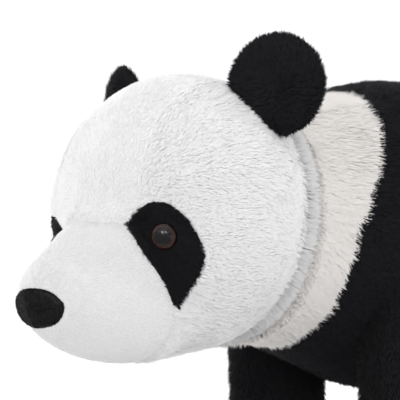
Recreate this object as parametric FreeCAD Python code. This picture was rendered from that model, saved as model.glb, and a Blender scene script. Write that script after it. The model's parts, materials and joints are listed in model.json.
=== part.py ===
import FreeCAD, Part
import math
import os

# A large plush panda that stands on four stuffed legs over a welded steel frame.
# It faces -Y, its left side is +X, and the soles rest on Z = 0. Sizes are millimetres.

Vector = FreeCAD.Vector
LEFT = 1
RIGHT = -1
SIDES = {"left": LEFT, "right": RIGHT}

# ---------------------------------------------------------------- plush and fits
cover_thickness = 8.0        # backing and pile together, on the head, neck, torso and legs
ear_cover_thickness = 6.0
travel_gap = 1.0             # between soft pieces that move on each other
stem_clearance = 0.1         # round the eye's stem

# ---------------------------------------------------------------- head
skull_width = 270.0
skull_length = 220.0
skull_height = 262.0
skull_centre_z = 342.0
snout_reach = 171.0          # from the skull's centre to the tip of the muzzle
muzzle_width = 142.0
muzzle_length = 206.0
muzzle_height = 122.0
muzzle_drop = 83.0           # its centre, below the skull's
# The muzzle's seam from the brow to the throat: how far each point lies behind the eye and above it.
muzzle_seam = [(-17.0, 14.0), (-7.0, -15.0), (8.5, -38.0), (24.5, -63.0), (29.0, -88.0), (42.0, -171.0)]
crown_panel_drop = 16.0      # how far the crown panel reaches below the eyes
crown_panel_width = 120.0
back_panel_start = 42.0      # behind the skull's centre

# ---------------------------------------------------------------- nose
nose_width = 72.0
nose_depth = 36.0            # from its top edge to its lower edge
nose_top_rise = 5.0          # above the muzzle's centre
nose_stand_out = 3.0

# ---------------------------------------------------------------- eyes and patches
eye_diameter = 24.0
eye_azimuth = 38.0           # degrees from straight ahead
eye_drop = 34.0              # below the skull's centre
eye_sink = 5.0               # how deep the eye sits in the pile
iris_thickness = 2.5
lens_height = 7.5
stem_diameter = 5.0
stem_length = 16.0
washer_diameter = 20.0
washer_thickness = 2.0
washer_gap = 0.8             # left by the curve of the cover behind the eye
patch_width = 79.0
patch_height = 93.0

# ---------------------------------------------------------------- ears
ear_width = 97.0
ear_height = 100.0
ear_thickness = 44.0
ear_rise = 43.7              # degrees up the side of the skull to the ear's seat
ear_set_back = 10.7          # degrees that the seat lies behind the skull's widest line
ear_stand = 23.8             # from the skull's surface to the ear's centre
ear_sweep = 28.0             # degrees that each ear faces outwards
ear_root_drop = 25.0         # from the ear's centre down to its root seam
ear_root_slope = 44.0        # degrees that the root seam falls outwards
ear_fold = 10.0              # degrees each way
ear_seam_back = 2.0          # from the ear's middle back to its rim seam

# ---------------------------------------------------------------- neck joint
neck_rim_y = -147.0          # where the neck ends at its outside
neck_rim_diameter = 224.0
neck_rim_lip = 30.0          # of the neck's form in front of the rim, which the joint's hollow removes
pivot_ahead = 24.0           # of the skull's centre
head_clearance = 0.3         # between the skull and the ball that it turns in
joint_pad_thickness = 5.0
joint_pad_diameter = 170.0

# ---------------------------------------------------------------- torso
body_axis_z = 336.0
neck_diameter = 240.0        # where the neck's seam reaches the throat
nape_diameter = 280.0        # where the same seam crosses the back
shoulder_seam_top_y = -32.0
shoulder_seam_middle_y = -98.0
shoulder_seam_bottom_y = -100.0
shoulder_seam_bend = -14.0   # above the body's axis, where the seam turns upright
shoulder_diameter = 304.0
shoulder_y = 5.0
belly_diameter = 306.0
belly_y = 150.0
rump_diameter = 294.0
rump_start_y = 244.0
rump_end_y = 368.0
shoulder_band_length = 130.0
rump_seam_y = 215.0

# ---------------------------------------------------------------- legs
leg_track = 188.0            # between left and right legs
front_leg_y = -10.0
hind_leg_y = 275.0
leg_diameter = 98.0
thigh_diameter = 106.0
ankle_height = 85.0
foot_diameter = 114.0
foot_height = 34.0
thigh_height = 235.0
leg_top_height = 335.0
leg_top_diameter = 44.0
sole_thickness = 5.0
sole_margin = 4.0
foot_plate_thickness = 4.0
foot_plate_diameter = 84.0

# ---------------------------------------------------------------- tail
tail_width = 78.0
tail_length = 96.0
tail_height = 80.0
tail_rise = 66.0             # above the body's axis
tail_sink = 10.0             # of its centre below the rump's surface
tail_root_depth = 27.0       # from its centre to its root seam
tail_lift = 20.0             # degrees each way

# ---------------------------------------------------------------- steel frame
tube_diameter = 16.0
tube_wall = 1.5
cross_tube_height = 345.0
rail_depth = 16.85             # from the inner face of the thinnest cover in to a side rail's middle
spine_back_y = 300.0
neck_plate_diameter = 130.0
neck_plate_thickness = 3.0
neck_plate_gap = 4.0         # of filling between the plate and the neck's hollow

# ---------------------------------------------------------------- derived values
tube_radius = tube_diameter / 2
far = 2000.0
# Where the round forms close on themselves, away from the planes that cut them.
body_join = Vector(math.sin(math.radians(20)), 0, math.cos(math.radians(20)))
leg_join = Vector(0, -1, 0)


def farthest_skull_point():
    """From the neck's pivot to the part of the skull's back that is farthest from it."""
    reaches = []
    for degrees in range(91):
        angle = math.radians(degrees)
        aside = max(skull_width, skull_height) / 2 * math.cos(angle)
        behind = skull_length / 2 * math.sin(angle) + pivot_ahead
        reaches.append(math.hypot(aside, behind))
    return max(reaches)


neck_ball_radius = farthest_skull_point() + head_clearance
neck_socket_radius = neck_ball_radius + joint_pad_thickness + 2 * travel_gap
neck_pivot_y = neck_rim_y - math.sqrt(neck_socket_radius ** 2 - (neck_rim_diameter / 2) ** 2)
neck_pivot = Vector(0, neck_pivot_y, skull_centre_z)
skull_centre = Vector(0, neck_pivot_y + pivot_ahead, skull_centre_z)
nose_tip_y = skull_centre.y - snout_reach
muzzle_centre = Vector(0, nose_tip_y + muzzle_length / 2, skull_centre_z - muzzle_drop)
neck_front_y = neck_rim_y - neck_rim_lip
# The rump's profile is one arc that is upright where it meets the body's axis.
rump_centre_y = (rump_end_y ** 2 - rump_start_y ** 2 - (rump_diameter / 2) ** 2) / (
    2 * (rump_end_y - rump_start_y)
)
rump_surface_y = rump_centre_y + math.sqrt((rump_end_y - rump_centre_y) ** 2 - tail_rise ** 2)
tail_centre = Vector(0, rump_surface_y - tail_sink, body_axis_z + tail_rise)
spine_height = cross_tube_height + tube_diameter
thinnest_body = min(shoulder_diameter, belly_diameter, rump_diameter) / 2
rail_reach = thinnest_body - cover_thickness - rail_depth
side_rail_height = body_axis_z - math.sqrt(rail_reach ** 2 - (leg_track / 2) ** 2)
spine_front_y = neck_pivot_y + neck_socket_radius + neck_plate_gap + neck_plate_thickness


def ellipsoid(centre, half_x, half_y, half_z):
    ball = Part.makeSphere(1.0)
    stretch = FreeCAD.Matrix()
    stretch.scale(half_x, half_y, half_z)
    stretched = ball.transformGeometry(stretch)
    stretched.translate(centre)
    return stretched


def prism_along_x(points, start, length):
    """Extrudes an outline of (y, z) points along X."""
    corners = [Vector(start, y, z) for y, z in points]
    outline = Part.makePolygon(corners + corners[:1])
    return Part.Face(outline).extrude(Vector(length, 0, 0))


def slab(low, high):
    size = high - low
    return Part.makeBox(size.x, size.y, size.z, low)


def rod(start, end, radius):
    along = end - start
    return Part.makeCylinder(radius, along.Length, start, along)


def revolved(edges, centre, axis):
    outline = Part.Wire(Part.sortEdges(edges)[0])
    return Part.Face(outline).revolve(centre, axis, 360)


def chain(points):
    return [Part.LineSegment(a, b).toShape() for a, b in zip(points, points[1:])]


def turned(shape, centre, axis, angle):
    copy = shape.copy()
    copy.rotate(centre, axis, angle)
    return copy


def largest_solid(shape):
    return max(shape.Solids, key=lambda solid: solid.Volume)


# ---------------------------------------------------------------- head
def skull(inset):
    return ellipsoid(
        skull_centre,
        skull_width / 2 - inset,
        skull_length / 2 - inset,
        skull_height / 2 - inset,
    )


def muzzle(inset):
    return ellipsoid(
        muzzle_centre,
        muzzle_width / 2 - inset,
        muzzle_length / 2 - inset,
        muzzle_height / 2 - inset,
    )


def head_form(inset):
    return skull(inset).fuse(muzzle(inset))


def eye_frame():
    """The left eye's seat on the skull, and its outward and sideways directions."""
    angle = math.radians(eye_azimuth)
    scale = math.sqrt(1.0 - (2 * eye_drop / skull_height) ** 2)
    seat = Vector(
        scale * skull_width / 2 * math.sin(angle),
        skull_centre.y - scale * skull_length / 2 * math.cos(angle),
        skull_centre.z - eye_drop,
    )
    outward = Vector(
        (seat.x - skull_centre.x) / skull_width ** 2,
        (seat.y - skull_centre.y) / skull_length ** 2,
        (seat.z - skull_centre.z) / skull_height ** 2,
    )
    outward.normalize()
    sideways = Vector(math.cos(angle), math.sin(angle), 0)
    return seat, outward, sideways


def mirrored(shape, side):
    if side == LEFT:
        return shape
    return shape.mirror(Vector(0, 0, 0), Vector(1, 0, 0))


def patch_prism():
    """A teardrop block round the left eye: a sharp inner corner and a sharp lower tip."""
    seat, outward, sideways = eye_frame()
    facing = Vector(outward.x, outward.y, 0)
    facing.normalize()
    half = patch_width / 2
    inner_corner = (-1.05 * half, 0.08 * patch_height)
    upper_edge = [
        (-0.63 * half, 0.27 * patch_height),
        (-0.07 * half, 0.33 * patch_height),
        (0.45 * half, 0.21 * patch_height),
        (0.80 * half, -0.04 * patch_height),
        (0.78 * half, -0.29 * patch_height),
    ]
    lower_tip = (0.09 * half, -0.65 * patch_height)
    lower_edge = [(-0.90 * half, -0.24 * patch_height)]

    def place(point):
        across, up = point
        return seat + sideways * across + Vector(0, 0, up) - facing * patch_width

    over = Part.BSplineCurve()
    over.interpolate([place(p) for p in [inner_corner] + upper_edge + [lower_tip]])
    under = Part.BSplineCurve()
    under.interpolate([place(p) for p in [lower_tip] + lower_edge + [inner_corner]])
    outline = Part.Wire([over.toShape(), under.toShape()])
    return Part.Face(outline).extrude(facing * 2 * patch_width)


def muzzle_block():
    """The part of the head in front of the muzzle seam, as a prism across the head."""
    seat = eye_frame()[0]
    seam = [(seat.y + behind, seat.z + above) for behind, above in muzzle_seam]
    outline = [(-far, seam[0][1])] + seam + [(-far, seam[-1][1])]
    return prism_along_x(outline, -far / 2, far)


def nose_prism():
    """A rounded shape, widest above its middle, extruded through the muzzle's tip."""
    half = nose_width / 2
    top = muzzle_centre.z + nose_top_rise
    start = nose_tip_y - nose_width
    right_edge = [(0.45, 0.02), (0.78, 0.16), (0.97, 0.42), (0.88, 0.68), (0.62, 0.90), (0.30, 0.99)]
    left_edge = [(-across, down) for across, down in right_edge[::-1]]
    shares = [(0.0, 0.0)] + right_edge + [(0.0, 1.0)] + left_edge
    points = [Vector(across * half, start, top - down * nose_depth) for across, down in shares]
    outline = Part.BSplineCurve()
    outline.interpolate(points, PeriodicFlag=True)
    face = Part.Face(Part.Wire([outline.toShape()]))
    return face.extrude(Vector(0, 1.75 * nose_width, 0))


def make_eye(side):
    seat, outward, _ = eye_frame()
    radius = eye_diameter / 2
    back = seat - outward * eye_sink
    front = back + outward * iris_thickness
    disc = rod(back, front, radius)
    stem = rod(back - outward * stem_length, back, stem_diameter / 2)
    body = disc.fuse(stem).removeSplitter()
    ball_radius = (radius ** 2 + lens_height ** 2) / (2 * lens_height)
    ball = Part.makeSphere(ball_radius, front - outward * (ball_radius - lens_height))
    lens = ball.common(rod(front, front + outward * (lens_height + 1), ball_radius))
    washer_front = seat - outward * (cover_thickness + washer_gap)
    washer_back = washer_front - outward * washer_thickness
    washer = rod(washer_back, washer_front, washer_diameter / 2)
    hole = rod(washer_back - outward, washer_front + outward, stem_diameter / 2)
    washer = washer.cut(hole)
    return {
        "eye_body": mirrored(body, side),
        "eye_lens": mirrored(lens, side),
        "eye_washer": mirrored(washer, side),
    }


def eye_pocket(side):
    """The room that an eye and its stem take in the cover and the filling."""
    seat, outward, _ = eye_frame()
    back = seat - outward * eye_sink
    cup = rod(back, seat + outward * 40, eye_diameter / 2 + stem_clearance)
    stem = rod(back - outward * stem_length, back, stem_diameter / 2 + stem_clearance)
    washer_back = seat - outward * (cover_thickness + washer_gap + washer_thickness)
    washer_room = rod(washer_back, seat - outward * (cover_thickness - 1), washer_diameter / 2)
    return mirrored(cup.fuse(stem), side), mirrored(washer_room, side)


def make_head():
    outer = head_form(0.0)
    inner = head_form(cover_thickness)
    nose_block = nose_prism()
    nose = muzzle(-nose_stand_out).common(nose_block).cut(muzzle(cover_thickness))
    shell = outer.cut(inner).cut(nose_block)
    in_front = muzzle_block()
    pieces = {"nose_cover": largest_solid(nose)}
    pieces["muzzle_panel"] = largest_solid(shell.common(in_front))
    rest = shell.cut(in_front)
    filling = inner
    for name, side in SIDES.items():
        patch_block = mirrored(patch_prism(), side)
        cup, washer_room = eye_pocket(side)
        pieces["eye_patch_" + name] = largest_solid(rest.common(patch_block).cut(cup))
        pieces["muzzle_panel"] = pieces["muzzle_panel"].cut(cup)
        rest = rest.cut(patch_block)
        filling = filling.cut(cup).cut(washer_room)
        for kind, shape in make_eye(side).items():
            pieces[kind + "_" + name] = shape
    behind = skull_centre.y + back_panel_start
    back_slab = slab(Vector(-far, behind, -far), Vector(far, far, far))
    pieces["head_back_panel"] = largest_solid(rest.common(back_slab))
    front = rest.cut(back_slab)
    half_crown = crown_panel_width / 2
    crown_slab = slab(
        Vector(-half_crown, -far, eye_frame()[0].z - crown_panel_drop), Vector(half_crown, behind, far)
    )
    pieces["crown_panel"] = largest_solid(front.common(crown_slab))
    sides = front.cut(crown_slab)
    for name, side in SIDES.items():
        half_space = slab(Vector(min(0, side * far), -far, -far), Vector(max(0, side * far), far, far))
        pieces["cheek_" + name] = largest_solid(sides.common(half_space))
    pieces["head_filling"] = largest_solid(filling)
    return pieces


# ---------------------------------------------------------------- ears
def ear_across():
    angle = math.radians(ear_sweep)
    return Vector(math.cos(angle), math.sin(angle), 0)


def ear_centre():
    """The left ear's centre, straight out from its seat on the skull."""
    rise = math.radians(ear_rise)
    back = math.radians(ear_set_back)
    out = Vector(math.cos(rise) * math.cos(back), math.cos(rise) * math.sin(back), math.sin(rise))
    scaled = Vector(out.x / skull_width, out.y / skull_length, out.z / skull_height)
    return skull_centre + out * (0.5 / scaled.Length + ear_stand)


def ear_hinge():
    """A point on the left ear's root seam and the seam's direction."""
    across = ear_across()
    slope = math.radians(ear_root_slope)
    down = across * -math.sin(slope) + Vector(0, 0, -math.cos(slope))
    along = across * math.cos(slope) + Vector(0, 0, -math.sin(slope))
    return ear_centre() + down * ear_root_drop, along


def ear_form(inset):
    disc = ellipsoid(
        Vector(0, 0, 0),
        ear_width / 2 - inset,
        ear_height / 2 - inset,
        ear_thickness / 2 - inset,
    )
    disc.rotate(Vector(0, 0, 0), Vector(1, 0, 0), 90)
    disc.rotate(Vector(0, 0, 0), Vector(0, 0, 1), ear_sweep)
    disc.translate(ear_centre())
    return disc


def swept_clear(shape, obstacle, centre, axis, reach):
    """Cuts shape so that it clears the obstacle while it turns by up to reach each way."""
    for share in (-1.0, 0.0, 1.0):
        shape = shape.cut(turned(obstacle, centre, axis, share * reach))
    return shape


def make_ears():
    hinge_point, hinge_axis = ear_hinge()
    obstacle = skull(-travel_gap)
    outer = swept_clear(ear_form(0.0), obstacle, hinge_point, hinge_axis, ear_fold)
    inner = ear_form(ear_cover_thickness)
    shell = largest_solid(outer.cut(inner))
    in_front = slab(Vector(-far, -far, -far), Vector(far, ear_seam_back, far))
    in_front.rotate(Vector(0, 0, 0), Vector(0, 0, 1), ear_sweep)
    in_front.translate(ear_centre())
    pieces = {
        "ear_front": largest_solid(shell.common(in_front)),
        "ear_back": largest_solid(shell.cut(in_front)),
        "ear_filling": largest_solid(outer.common(inner)),
    }
    ears = {}
    for name, side in SIDES.items():
        for kind, shape in pieces.items():
            ears[kind + "_" + name] = mirrored(shape, side)
    return ears


# ---------------------------------------------------------------- torso and neck
def torso_outline(inset):
    """The edge of the body's half section, from in front of the neck's rim to the rump's end."""
    arc_radius = rump_end_y - rump_centre_y - inset
    start_angle = math.atan2(rump_diameter / 2, rump_start_y - rump_centre_y)

    def place(along, radius):
        return Vector(0, along, body_axis_z) + body_join * radius

    def on_arc(angle):
        return place(rump_centre_y + arc_radius * math.cos(angle), arc_radius * math.sin(angle))

    points = [
        place(neck_front_y, neck_rim_diameter / 2 - inset),
        place(shoulder_seam_bottom_y, neck_diameter / 2 - inset),
        place(shoulder_seam_top_y, nape_diameter / 2 - inset),
        place(shoulder_y, shoulder_diameter / 2 - inset),
        place(belly_y, belly_diameter / 2 - inset),
        on_arc(start_angle),
    ]
    arc = Part.Arc(on_arc(start_angle), on_arc(start_angle / 2), on_arc(0.0)).toShape()
    return points, arc, on_arc(0.0)


def torso_form(inset):
    """Neck, shoulders, belly and rump as one closed round form."""
    points, arc, end = torso_outline(inset)
    front = Vector(0, neck_front_y, body_axis_z)
    edges = chain(points) + [arc] + chain([end, front, points[0]])
    return revolved(edges, front, Vector(0, 1, 0))


def torso_shell():
    points, arc, end = torso_outline(0.0)
    inner_points, inner_arc, inner_end = torso_outline(cover_thickness)
    edges = chain(points) + [arc] + chain([end, inner_end]) + [inner_arc]
    edges += chain(inner_points) + chain([inner_points[0], points[0]])
    return revolved(edges, Vector(0, neck_front_y, body_axis_z), Vector(0, 1, 0))


def seam_slab(crossings):
    """Everything in front of a seam, given as (y, z) points from above the back to below the belly."""
    outline = crossings + [(-far, crossings[-1][1]), (-far, crossings[0][1])]
    return prism_along_x(outline, -far / 2, far)


def shoulder_seam(offset):
    """The seam between neck and shoulder, bowed forwards at the middle, moved back by an offset."""
    half = neck_diameter / 2
    upper_lean = shoulder_seam_top_y - shoulder_seam_middle_y
    lower_lean = shoulder_seam_middle_y - shoulder_seam_bottom_y
    return [
        (shoulder_seam_top_y + upper_lean + offset, body_axis_z + 2 * half),
        (shoulder_seam_middle_y + offset, body_axis_z + shoulder_seam_bend),
        (shoulder_seam_bottom_y - lower_lean + offset, body_axis_z - 2 * half),
    ]


def leg_places():
    places = {}
    for end, y in (("front", front_leg_y), ("hind", hind_leg_y)):
        for name, side in SIDES.items():
            places[end + "_" + name] = Vector(side * leg_track / 2, y, 0)
    return places


def leg_outline(place, inset):
    """The outer edge of a leg's section, from its sole up into the torso."""
    stations = [
        (sole_thickness, foot_diameter - sole_margin),
        (foot_height, foot_diameter),
        (ankle_height, leg_diameter),
        (0.5 * (ankle_height + thigh_height), leg_diameter + 2),
        (thigh_height, thigh_diameter),
        (thigh_height + 0.6 * (leg_top_height - thigh_height), 0.82 * thigh_diameter),
        (leg_top_height, leg_top_diameter),
    ]
    return [
        place + leg_join * (diameter / 2 - inset) + Vector(0, 0, z) for z, diameter in stations
    ]


def leg_form(place, inset):
    points = leg_outline(place, inset)
    base = place + Vector(0, 0, sole_thickness)
    top = place + Vector(0, 0, leg_top_height)
    return revolved(chain(points + [top, base, points[0]]), place, Vector(0, 0, 1))


def leg_shell(place):
    outer = leg_outline(place, 0.0)
    inner = leg_outline(place, cover_thickness)
    ring = outer + inner[::-1] + outer[:1]
    return revolved(chain(ring), place, Vector(0, 0, 1))


def make_legs(torso_outer):
    pieces = {}
    for name, place in leg_places().items():
        sole_top = place + Vector(0, 0, sole_thickness)
        plate_top = sole_top + Vector(0, 0, foot_plate_thickness)
        plate = rod(sole_top, plate_top, foot_plate_diameter / 2)
        cover = leg_shell(place).cut(torso_outer)
        filling = leg_form(place, cover_thickness).cut(torso_outer).cut(plate)
        for room in frame_room():
            cover = cover.cut(room)
            filling = filling.cut(room)
        pieces["leg_cover_" + name] = largest_solid(cover)
        pieces["leg_filling_" + name] = largest_solid(filling)
        pieces["foot_plate_" + name] = plate
        pieces["sole_" + name] = rod(place, sole_top, foot_diameter / 2 - sole_margin)
    return pieces


def tube(start, end):
    along = end - start
    outer = Part.makeCylinder(tube_radius, along.Length, start, along)
    bore = Part.makeCylinder(tube_radius - tube_wall, along.Length, start, along)
    return outer.cut(bore)


def leg_tube_room(place):
    top = place + Vector(0, 0, cross_tube_height + tube_radius)
    return rod(place, top, tube_radius)


def notched(piece):
    """A tube cut to fit against the legs' tubes that its ends meet."""
    for place in leg_places().values():
        piece = piece.cut(leg_tube_room(place))
    return largest_solid(piece)


def make_frame():
    """Welded tubes. Each tube's ends are notched to fit the tube that they meet."""
    pieces = {}
    plate_top = sole_thickness + foot_plate_thickness
    for name, place in leg_places().items():
        foot = place + Vector(0, 0, plate_top)
        head = place + Vector(0, 0, cross_tube_height + tube_radius)
        pieces["leg_tube_" + name] = tube(foot, head)
    for end, y in (("front", front_leg_y), ("hind", hind_leg_y)):
        left = Vector(leg_track / 2, y, cross_tube_height)
        right = Vector(-leg_track / 2, y, cross_tube_height)
        pieces["cross_tube_" + end] = notched(tube(right, left))
    for name, side in SIDES.items():
        front = Vector(side * leg_track / 2, front_leg_y, side_rail_height)
        back = Vector(side * leg_track / 2, hind_leg_y, side_rail_height)
        pieces["side_rail_" + name] = notched(tube(front, back))
    spine_front = Vector(0, spine_front_y, spine_height)
    spine_back = Vector(0, spine_back_y, spine_height)
    pieces["spine_tube"] = tube(spine_front, spine_back)
    plate_front = spine_front - Vector(0, neck_plate_thickness, 0)
    pieces["neck_plate"] = rod(plate_front, spine_front, neck_plate_diameter / 2)
    return pieces


def frame_room():
    """The solid space that the steel takes inside the torso's filling."""
    radius = tube_radius
    rooms = [leg_tube_room(place) for place in leg_places().values()]
    for y in (front_leg_y, hind_leg_y):
        left = Vector(leg_track / 2, y, cross_tube_height)
        rooms.append(rod(Vector(-left.x, y, left.z), left, radius))
    for side in SIDES.values():
        front = Vector(side * leg_track / 2, front_leg_y, side_rail_height)
        rooms.append(rod(front, Vector(front.x, hind_leg_y, front.z), radius))
    spine_front = Vector(0, spine_front_y - neck_plate_thickness, spine_height)
    rooms.append(rod(spine_front, Vector(0, spine_back_y, spine_height), radius))
    plate_back = Vector(0, spine_front_y, spine_height)
    rooms.append(rod(spine_front, plate_back, neck_plate_diameter / 2))
    return rooms


def make_torso():
    socket = Part.makeSphere(neck_socket_radius, neck_pivot)
    before_shoulder = seam_slab(shoulder_seam(0.0))
    before_middle = seam_slab(shoulder_seam(shoulder_band_length))
    before_rump = seam_slab([(rump_seam_y, far), (rump_seam_y, -far)])
    shell = torso_shell()
    behind_neck = shell.cut(before_shoulder)
    behind_shoulder = behind_neck.cut(before_middle)
    bands = {
        "neck_cover": shell.common(before_shoulder).cut(socket),
        "shoulder_cover": behind_neck.common(before_middle),
        "midsection_cover": behind_shoulder.common(before_rump),
        "rump_cover": behind_shoulder.cut(before_rump),
    }
    pieces = {}
    for node, band in bands.items():
        for place in leg_places().values():
            band = band.cut(leg_tube_room(place))
        pieces[node] = largest_solid(band)
    filling = torso_form(cover_thickness).cut(socket)
    for room in frame_room():
        filling = filling.cut(room)
    pieces["neck_filling"] = largest_solid(filling.common(before_shoulder))
    pieces["torso_filling"] = largest_solid(filling.cut(before_shoulder))
    return pieces


def make_joint_pad():
    """A curved disc that the back of the head turns on, concentric with the neck's pivot."""
    outer = Part.makeSphere(neck_ball_radius + travel_gap + joint_pad_thickness, neck_pivot)
    inner = Part.makeSphere(neck_ball_radius + travel_gap, neck_pivot)
    reach = neck_pivot + Vector(0, far, 0)
    disc = rod(neck_pivot, reach, joint_pad_diameter / 2)
    return {"neck_joint_pad": largest_solid(outer.cut(inner).common(disc))}


# ---------------------------------------------------------------- tail
def tail_form(inset):
    return ellipsoid(
        tail_centre,
        tail_width / 2 - inset,
        tail_length / 2 - inset,
        tail_height / 2 - inset,
    )


def make_tail():
    hinge = tail_centre - Vector(0, tail_root_depth, 0)
    obstacle = torso_form(-travel_gap)
    outer = swept_clear(tail_form(0.0), obstacle, hinge, Vector(1, 0, 0), tail_lift)
    inner = tail_form(cover_thickness)
    return {
        "tail_cover": largest_solid(outer.cut(inner)),
        "tail_filling": largest_solid(outer.common(inner)),
    }


def build():
    torso_outer = torso_form(0.0)
    pieces = {}
    pieces.update(make_head())
    pieces.update(make_ears())
    pieces.update(make_torso())
    pieces.update(make_joint_pad())
    pieces.update(make_legs(torso_outer))
    pieces.update(make_frame())
    pieces.update(make_tail())
    return pieces


os.makedirs("parts", exist_ok=True)
for node, shape in build().items():
    shape.exportStep("parts/" + node + ".step")
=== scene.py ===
import json
import math

import bmesh
import bpy
import numpy as np
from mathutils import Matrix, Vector


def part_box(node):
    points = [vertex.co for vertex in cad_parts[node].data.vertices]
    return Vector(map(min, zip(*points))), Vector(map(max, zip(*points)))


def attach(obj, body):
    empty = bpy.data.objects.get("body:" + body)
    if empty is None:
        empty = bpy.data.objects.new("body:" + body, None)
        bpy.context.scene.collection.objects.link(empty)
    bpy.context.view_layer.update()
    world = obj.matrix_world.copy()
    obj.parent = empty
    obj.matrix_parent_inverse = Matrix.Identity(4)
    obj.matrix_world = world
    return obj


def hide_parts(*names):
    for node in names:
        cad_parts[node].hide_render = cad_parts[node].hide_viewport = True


# A large plush panda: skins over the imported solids, and a pile of real blades on each skin.
# Lengths are metres. The panda faces -Y, and its left side is +X.

MM = 0.001
SIDES = {"left": 1, "right": -1}

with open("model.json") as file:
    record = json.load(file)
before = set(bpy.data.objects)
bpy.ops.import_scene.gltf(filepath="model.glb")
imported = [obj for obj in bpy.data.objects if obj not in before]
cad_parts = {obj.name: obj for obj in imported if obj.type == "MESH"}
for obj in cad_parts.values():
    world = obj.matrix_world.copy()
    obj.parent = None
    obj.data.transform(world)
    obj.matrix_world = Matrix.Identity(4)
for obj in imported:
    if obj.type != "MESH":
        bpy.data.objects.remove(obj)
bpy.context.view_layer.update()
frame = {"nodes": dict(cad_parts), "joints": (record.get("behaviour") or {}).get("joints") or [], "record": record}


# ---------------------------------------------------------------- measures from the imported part
def node_box(*nodes):
    boxes = [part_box(node) for node in nodes]
    low = np.min([np.array(box[0]) for box in boxes], axis=0)
    high = np.max([np.array(box[1]) for box in boxes], axis=0)
    return low, high


def joint_place(name):
    for joint in frame["joints"]:
        if joint["name"] == name:
            return np.array(joint["pos_m"]), np.array(joint["axis"], dtype=float)
    raise KeyError(name)


crown_low, crown_high = node_box("crown_panel")
_, cheek_high = node_box("cheek_left", "cheek_right")
back_low, back_high = node_box("head_back_panel")
muzzle_low, muzzle_high = node_box("muzzle_panel")
nose_low, nose_high = node_box("nose_cover")
middle_low, middle_high = node_box("midsection_cover")
rump_low, rump_high = node_box("rump_cover")
_, tail_high = node_box("tail_cover")
_, pad_high = node_box("neck_joint_pad")
neck_pivot, _ = joint_place("head_nod")

SKULL_HALF_HEIGHT = 131 * MM
MUZZLE_HALF_HEIGHT = 61 * MM
MUZZLE_HALF_LENGTH = 103 * MM
MUZZLE_SEAM_MM = [(-17, 14), (-7, -15), (8.5, -38), (24.5, -63), (29, -88), (42, -171)]
NOSE_STAND_OUT = 3 * MM
SIDE_FILLET = 14 * MM
BRIDGE_FILLET = 46 * MM
EYE_AZIMUTH = math.radians(38)
EYE_DROP = 34 * MM
EAR_SWEEP = math.radians(28)
EAR_HALF_WIDTH = 48.5 * MM
EAR_HALF_HEIGHT = 50 * MM
EAR_HALF_THICKNESS = 22 * MM
EAR_SET_OUT = 3 * MM
SEAM_TOP_Y = -32 * MM
SEAM_SIDE_Y = -98 * MM
SEAM_BOTTOM_Y = -100 * MM
SEAM_BEND = -14 * MM
BAND_LENGTH = 130 * MM
PILE_OVERLAP = 5 * MM
TRAVEL_GAP = 1 * MM
SHOULDER_Y = 5 * MM
BELLY_Y = 150 * MM
RUMP_Y = 244 * MM
NECK_RIM_RADIUS = 112 * MM
THROAT_RADIUS = 120 * MM
NAPE_RADIUS = 140 * MM
SHOULDER_RADIUS = 152 * MM
RUMP_RADIUS = 147 * MM

neck_socket_radius = pad_high[1] - neck_pivot[1] + TRAVEL_GAP
neck_rim_y = neck_pivot[1] + math.sqrt(neck_socket_radius ** 2 - NECK_RIM_RADIUS ** 2)
skull_half = np.array([
    cheek_high[0],
    (back_high[1] - crown_low[1]) / 2,
    SKULL_HALF_HEIGHT,
])
skull_centre = np.array([0, (back_high[1] + crown_low[1]) / 2, crown_high[2] - SKULL_HALF_HEIGHT])
muzzle_half = np.array([muzzle_high[0], MUZZLE_HALF_LENGTH, MUZZLE_HALF_HEIGHT])
muzzle_centre = np.array([
    0,
    nose_low[1] + NOSE_STAND_OUT + MUZZLE_HALF_LENGTH,
    muzzle_low[2] + MUZZLE_HALF_HEIGHT,
])
eye_ring = math.sqrt(1 - (EYE_DROP / SKULL_HALF_HEIGHT) ** 2)
eye_seat = skull_centre + np.array([
    eye_ring * skull_half[0] * math.sin(EYE_AZIMUTH),
    -eye_ring * skull_half[1] * math.cos(EYE_AZIMUTH),
    -EYE_DROP,
])
eye_outward = (eye_seat - skull_centre) / skull_half ** 2
eye_outward /= np.linalg.norm(eye_outward)
body_axis_z = (middle_low[2] + middle_high[2]) / 2


# ---------------------------------------------------------------- small vector helpers
def unit(vectors):
    length = np.linalg.norm(vectors, axis=-1, keepdims=True)
    return vectors / np.maximum(length, 1e-12)


def along(a, b):
    return np.sum(a * b, axis=-1, keepdims=True)


def smooth_step(low, high, value):
    share = np.clip((value - low) / (high - low), 0, 1)
    return share * share * (3 - 2 * share)


def lattice_noise(points, size, seed):
    """Smooth noise vectors from -1 to 1 that change over about one size."""
    table = np.random.default_rng(seed).uniform(-1, 1, (4096, 3))
    scaled = points / size
    cell = np.floor(scaled).astype(np.int64)
    share = scaled - cell
    share = share * share * (3 - 2 * share)
    total = np.zeros_like(points)
    for corner in range(8):
        step = np.array([corner & 1, corner >> 1 & 1, corner >> 2 & 1])
        index = cell + step
        key = (index[:, 0] * 73856093) ^ (index[:, 1] * 19349663) ^ (index[:, 2] * 83492791)
        weight = np.prod(np.where(step, share, 1 - share), axis=1)
        total += weight[:, None] * table[key % 4096]
    return total


# ---------------------------------------------------------------- forms, as distances to a surface
def ellipsoid_distance(points, centre, half):
    offset = (points - centre) / half
    k0 = np.linalg.norm(offset, axis=1)
    k1 = np.linalg.norm(offset / half, axis=1)
    return k0 * (k0 - 1) / np.maximum(k1, 1e-9)


def blended(a, b, reach):
    """The nearer of two distances, with a soft fillet of that reach where they meet."""
    share = np.clip(0.5 + 0.5 * (b - a) / reach, 0, 1)
    return b * (1 - share) + a * share - reach * share * (1 - share)


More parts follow.
